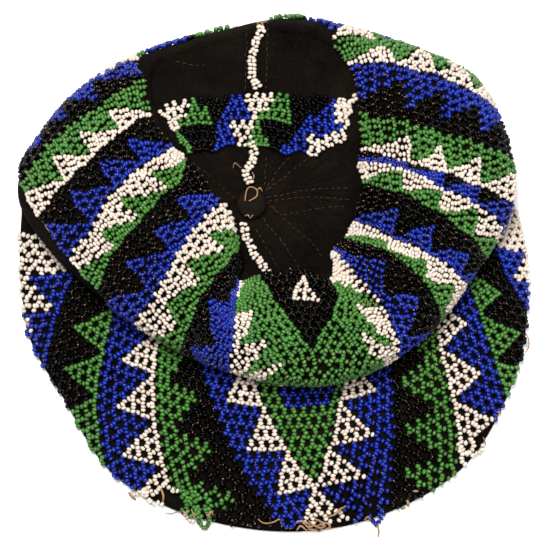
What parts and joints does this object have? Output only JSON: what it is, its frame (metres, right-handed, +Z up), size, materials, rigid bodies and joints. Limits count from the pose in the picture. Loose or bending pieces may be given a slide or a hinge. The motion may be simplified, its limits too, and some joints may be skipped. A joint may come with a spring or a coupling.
{
  "type": "beaded cap",
  "caption": "Soft black cotton cap lying folded on itself, its puffed upper tier and its wide lower tier covered with netted glass beads in coloured triangles.",
  "frame": {"origin": "on the surface that the cap rests on, under the middle of its outline", "axes": "+Z up out of the resting surface, +Y towards the cap's back (the top of the picture), +X towards the picture's right"},
  "size_m": [0.2328, 0.2342, 0.0376],
  "materials": {
    "black_cotton": "matt",
    "upper_net_beads": "opaque, glossy",
    "lower_net_beads": "opaque, glossy",
    "band_beads": "opaque, glossy",
    "button_cotton": "matt",
    "white_beads": "opaque, glossy"
  },
  "bodies": {
    "root": {"cap_cloth": "black_cotton", "net_upper": "upper_net_beads", "net_lower": "lower_net_beads", "bead_band": "band_beads", "crown_button": "button_cotton", "seam_string_back": "white_beads", "seam_string_middle": "white_beads", "seam_string_front": "white_beads"}
  },
  "joints": []
}
